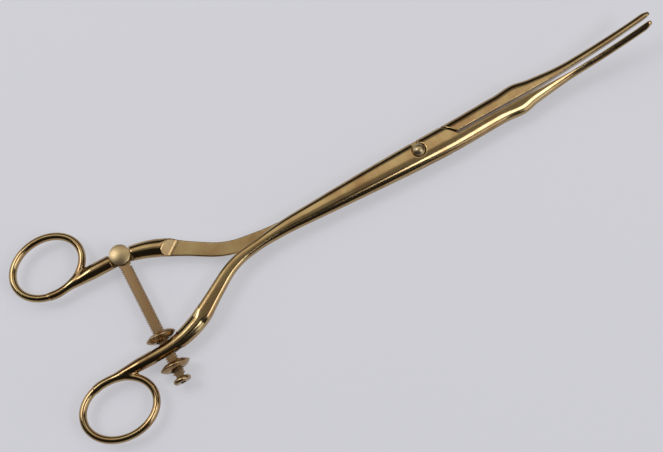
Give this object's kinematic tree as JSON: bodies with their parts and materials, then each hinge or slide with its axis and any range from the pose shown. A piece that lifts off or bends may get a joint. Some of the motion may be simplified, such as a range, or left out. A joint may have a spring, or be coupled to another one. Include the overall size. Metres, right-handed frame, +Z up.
{
  "type": "uterine dilator",
  "caption": "Lever dilator with finger bows, a pivot stud, curved blades that spread when the handles close, and a cross bar whose round nuts set and limit the opening.",
  "frame": {"origin": "on the pivot axis, at the flat foot of the pivot stud", "axes": "+X towards the blades' tips, +Y towards the back arm's handle, +Z up along the pivot, from the foot to the domed head"},
  "size_m": [0.282, 0.091, 0.0206],
  "materials": {
    "arm_metal": "polished, worn, with fine scratches",
    "stud_metal": "polished",
    "bar_metal": "satin, tarnished",
    "nut_metal": "polished, tarnished at the rim"
  },
  "bodies": {
    "back_arm": {"back_bow": "arm_metal", "back_handle": "arm_metal", "back_blade": "arm_metal", "pivot_stud": "stud_metal", "bar_screw": "stud_metal"},
    "front_arm": {"front_bow": "arm_metal", "front_handle": "arm_metal", "front_blade": "arm_metal"},
    "bar": {"cross_bar": "bar_metal", "end_button": "nut_metal"},
    "nut_inside": {"inner_nut": "nut_metal"},
    "nut_outside": {"outer_nut": "nut_metal"}
  },
  "joints": [
    {"name": "handle_pivot", "type": "hinge", "parent": "back_arm", "child": "front_arm", "pos_m": [0, 0, 0.0039], "axis": [0, 0, -1], "range_deg": [-0.9, 12]},
    {"name": "bar_swing", "type": "hinge", "parent": "back_arm", "child": "bar", "pos_m": [-0.1273, 0.0208, 0.0039], "axis": [0, 0, -1], "range_deg": [-0.7, 8.7]},
    {"name": "inner_nut_travel", "type": "slide", "parent": "bar", "child": "nut_inside", "axis": [0.0208, 0.9998, 0], "range_m": [-0.0021, 0.027]},
    {"name": "outer_nut_travel", "type": "slide", "parent": "bar", "child": "nut_outside", "axis": [0.0208, 0.9998, 0], "range_m": [-0.0021, 0.027]}
  ],
  "couplings": [
    {"joint": "bar_swing", "follows": "handle_pivot", "ratio": 0.7128},
    {"joint": "inner_nut_travel", "follows": "handle_pivot", "m_per_rad": 0.12853},
    {"joint": "outer_nut_travel", "follows": "handle_pivot", "m_per_rad": 0.12853}
  ]
}
